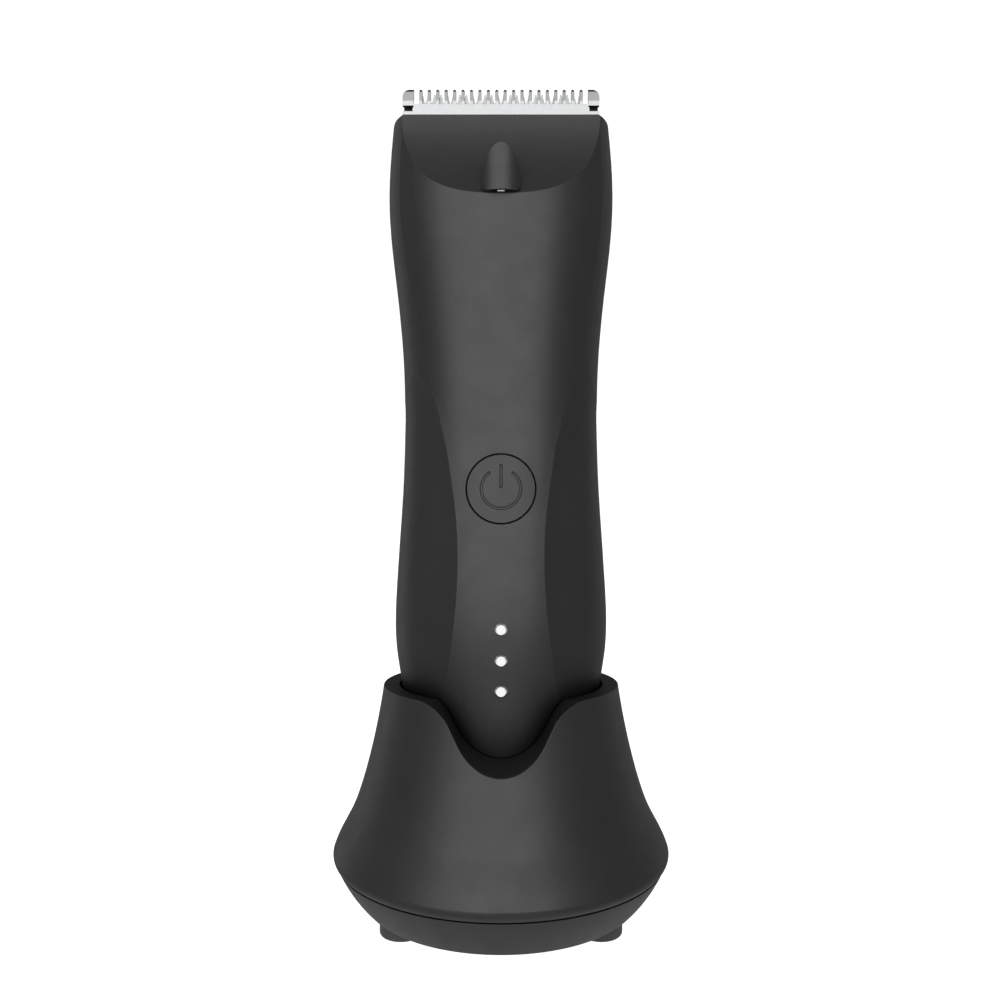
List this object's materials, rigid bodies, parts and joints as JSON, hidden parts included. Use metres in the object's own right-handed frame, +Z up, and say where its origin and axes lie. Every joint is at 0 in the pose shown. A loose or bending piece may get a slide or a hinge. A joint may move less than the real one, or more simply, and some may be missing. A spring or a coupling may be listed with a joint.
{
  "type": "body groomer",
  "caption": "Cordless body groomer with a straight toothed blade, lamp and power button, standing in a bell-shaped charging dock with a front notch.",
  "frame": {"origin": "on the surface it stands on, on the axis of the dock", "axes": "+Z up along the trimmer, -Y is the front with the power button, lamp and dock notch"},
  "size_m": [0.0646, 0.0646, 0.1568],
  "materials": {
    "body_plastic": "soft-touch satin, very fine grain",
    "dock_plastic": "fine matte grain",
    "base_plastic": "fine matte grain",
    "dock_dark_plastic": "fine matte",
    "button_plastic": "satin",
    "black_plastic": "matte",
    "frame_plastic": "plain moulded",
    "rubber": "matte",
    "foot_rubber": "matte",
    "blade_steel": "satin ground",
    "cutter_ceramic": "polished ceramic",
    "screw_steel": "plated",
    "motor_steel": "nickel plated",
    "rotor_metal": "laminated",
    "cell_wrap": "shrink wrap",
    "nickel": "nickel strip",
    "contact_gold": "gold flash",
    "board_green": "solder mask",
    "chip_black": "moulded",
    "light_white": "clear white",
    "lead_insulation": "soft",
    "weight_steel": "raw"
  },
  "bodies": {
    "dock": {"dock_shell": "dock_plastic", "dock_cup": "dock_dark_plastic", "dock_base": "base_plastic", "dock_feet": "foot_rubber", "dock_screws": "screw_steel", "dock_weight": "weight_steel", "dock_board": "board_green", "dock_usb_socket": "motor_steel", "contact_sleeves": "black_plastic", "contact_spring_left": "screw_steel", "contact_spring_right": "screw_steel"},
    "trimmer": {"front_housing": "body_plastic", "rear_housing": "body_plastic", "end_cap": "body_plastic", "end_cap_seal": "rubber", "end_cap_screws": "screw_steel", "housing_screws": "screw_steel", "charge_contacts": "contact_gold", "button_seal": "rubber", "light_guide": "light_white", "indicator_leds": "light_white", "lamp_lens": "light_white", "lamp_board": "board_green", "inner_frame": "frame_plastic", "battery_cell": "cell_wrap", "battery_tabs": "nickel", "battery_leads": "lead_insulation", "motor_leads": "lead_insulation", "main_board": "board_green", "board_chips": "chip_black", "tact_switch": "chip_black", "motor_can": "motor_steel", "motor_mount": "frame_plastic", "motor_screws": "screw_steel"},
    "blade_head": {"fixed_blade": "blade_steel", "blade_bracket": "black_plastic", "blade_screws": "screw_steel", "blade_spring": "screw_steel"},
    "cutter": {"moving_blade": "cutter_ceramic", "drive_yoke": "black_plastic"},
    "rotor": {"motor_rotor": "rotor_metal", "crank": "black_plastic"},
    "power_button": {"power_button": "button_plastic"},
    "contact_pin_left": {"contact_pin_left": "contact_gold"},
    "contact_pin_right": {"contact_pin_right": "contact_gold"}
  },
  "joints": [
    {"name": "trimmer_lift", "type": "slide", "parent": "dock", "child": "trimmer", "axis": [0, 0, 1], "range_m": [0, 0.06]},
    {"name": "blade_head_pull", "type": "slide", "parent": "trimmer", "child": "blade_head", "axis": [0, 0, 1], "range_m": [0, 0.014]},
    {"name": "motor_spin", "type": "hinge", "parent": "trimmer", "child": "rotor", "pos_m": [0, 0, 0.135], "axis": [0, 0, 1], "range_deg": [-90, 90]},
    {"name": "cutter_stroke", "type": "slide", "parent": "blade_head", "child": "cutter", "axis": [1, 0, 0], "range_m": [-0.001, 0.001]},
    {"name": "button_press", "type": "slide", "parent": "trimmer", "child": "power_button", "axis": [0, 1, 0], "range_m": [0, 0.0006], "stiffness_N_per_m": 600},
    {"name": "contact_left_press", "type": "slide", "parent": "dock", "child": "contact_pin_left", "axis": [0, 0, 1], "range_m": [-0.0008, 0], "stiffness_N_per_m": 150, "deforming": ["contact_spring_left"]},
    {"name": "contact_right_press", "type": "slide", "parent": "dock", "child": "contact_pin_right", "axis": [0, 0, 1], "range_m": [-0.0008, 0], "stiffness_N_per_m": 150, "deforming": ["contact_spring_right"]}
  ],
  "couplings": [
    {"joint": "motor_spin", "follows": "cutter_stroke", "rad_per_m": 1570.6}
  ]
}
